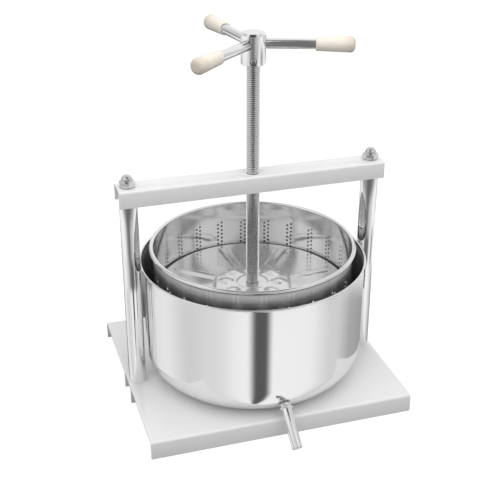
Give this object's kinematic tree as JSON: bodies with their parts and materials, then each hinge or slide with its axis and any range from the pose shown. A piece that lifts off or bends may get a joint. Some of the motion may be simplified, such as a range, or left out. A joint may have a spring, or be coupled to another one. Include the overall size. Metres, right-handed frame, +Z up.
{
  "type": "fruit press",
  "caption": "Bench fruit press: a hand-turned screw in a crossbeam pushes a ribbed plate into a drawn steel basket; juice leaves the pot through a spout.",
  "frame": {"origin": "on the table, in the middle of the footprint with the spout included; the screw's axis stands 15.4 mm behind it", "axes": "+X along the crossbeam to the right when seen from the spout side, +Y away from the spout, +Z up along the screw"},
  "size_m": [0.364, 0.3669, 0.5064],
  "materials": {
    "powder_coat": "smooth pale grey powder coat, semi-gloss",
    "polished_post": "polished chrome-plated bar",
    "screw_steel": "bright rolled thread",
    "bright_steel": "bright plated, turned",
    "fastener_steel": "bright zinc plated",
    "pot_steel": "mirror-polished stainless steel",
    "basket_steel": "polished drawn stainless steel",
    "plate_steel": "polished stamped stainless steel",
    "ivory_plastic": "moulded ivory plastic, satin"
  },
  "bodies": {
    "frame": {"base_plate": "powder_coat", "base_channel": "powder_coat", "foot_bolt_left": "fastener_steel", "foot_bolt_right": "fastener_steel", "foot_washer_left": "fastener_steel", "foot_washer_right": "fastener_steel", "post_left": "polished_post", "post_right": "polished_post", "crossbeam": "powder_coat", "screw_nut": "powder_coat", "washer_left": "fastener_steel", "washer_right": "fastener_steel", "cap_nut_left": "fastener_steel", "cap_nut_right": "fastener_steel"},
    "press_plate": {"pressure_plate": "plate_steel", "thrust_boss": "plate_steel"},
    "screw": {"lead_screw": "screw_steel", "handle_hub": "bright_steel", "hub_set_screw": "bright_steel", "handle_arm_1": "bright_steel", "handle_arm_2": "bright_steel", "handle_arm_3": "bright_steel", "grip_1": "ivory_plastic", "grip_2": "ivory_plastic", "grip_3": "ivory_plastic", "retaining_washer": "fastener_steel", "retaining_bolt": "fastener_steel"},
    "pot": {"pot": "pot_steel", "spout_stub": "pot_steel", "spout_tube": "pot_steel"},
    "basket": {"basket": "basket_steel", "basket_feet": "basket_steel"}
  },
  "joints": [
    {"name": "plate_slide", "type": "slide", "parent": "frame", "child": "press_plate", "axis": [0, 0, 1], "range_m": [-0.091, 0.13]},
    {"name": "screw_turn", "type": "hinge", "parent": "press_plate", "child": "screw", "pos_m": [0, 0.0154, 0.3], "axis": [0, 0, 1], "range_deg": [-13104, 18720]},
    {"name": "pot_turn", "type": "hinge", "parent": "frame", "child": "pot", "pos_m": [0, 0.0154, 0.0265], "axis": [0, 0, 1], "range_deg": [-18, 18]},
    {"name": "basket_turn", "type": "hinge", "parent": "pot", "child": "basket", "pos_m": [0, 0.0154, 0.036], "axis": [0, 0, 1], "continuous": true}
  ],
  "couplings": [
    {"joint": "plate_slide", "follows": "screw_turn", "m_per_rad": 0.00039789}
  ]
}
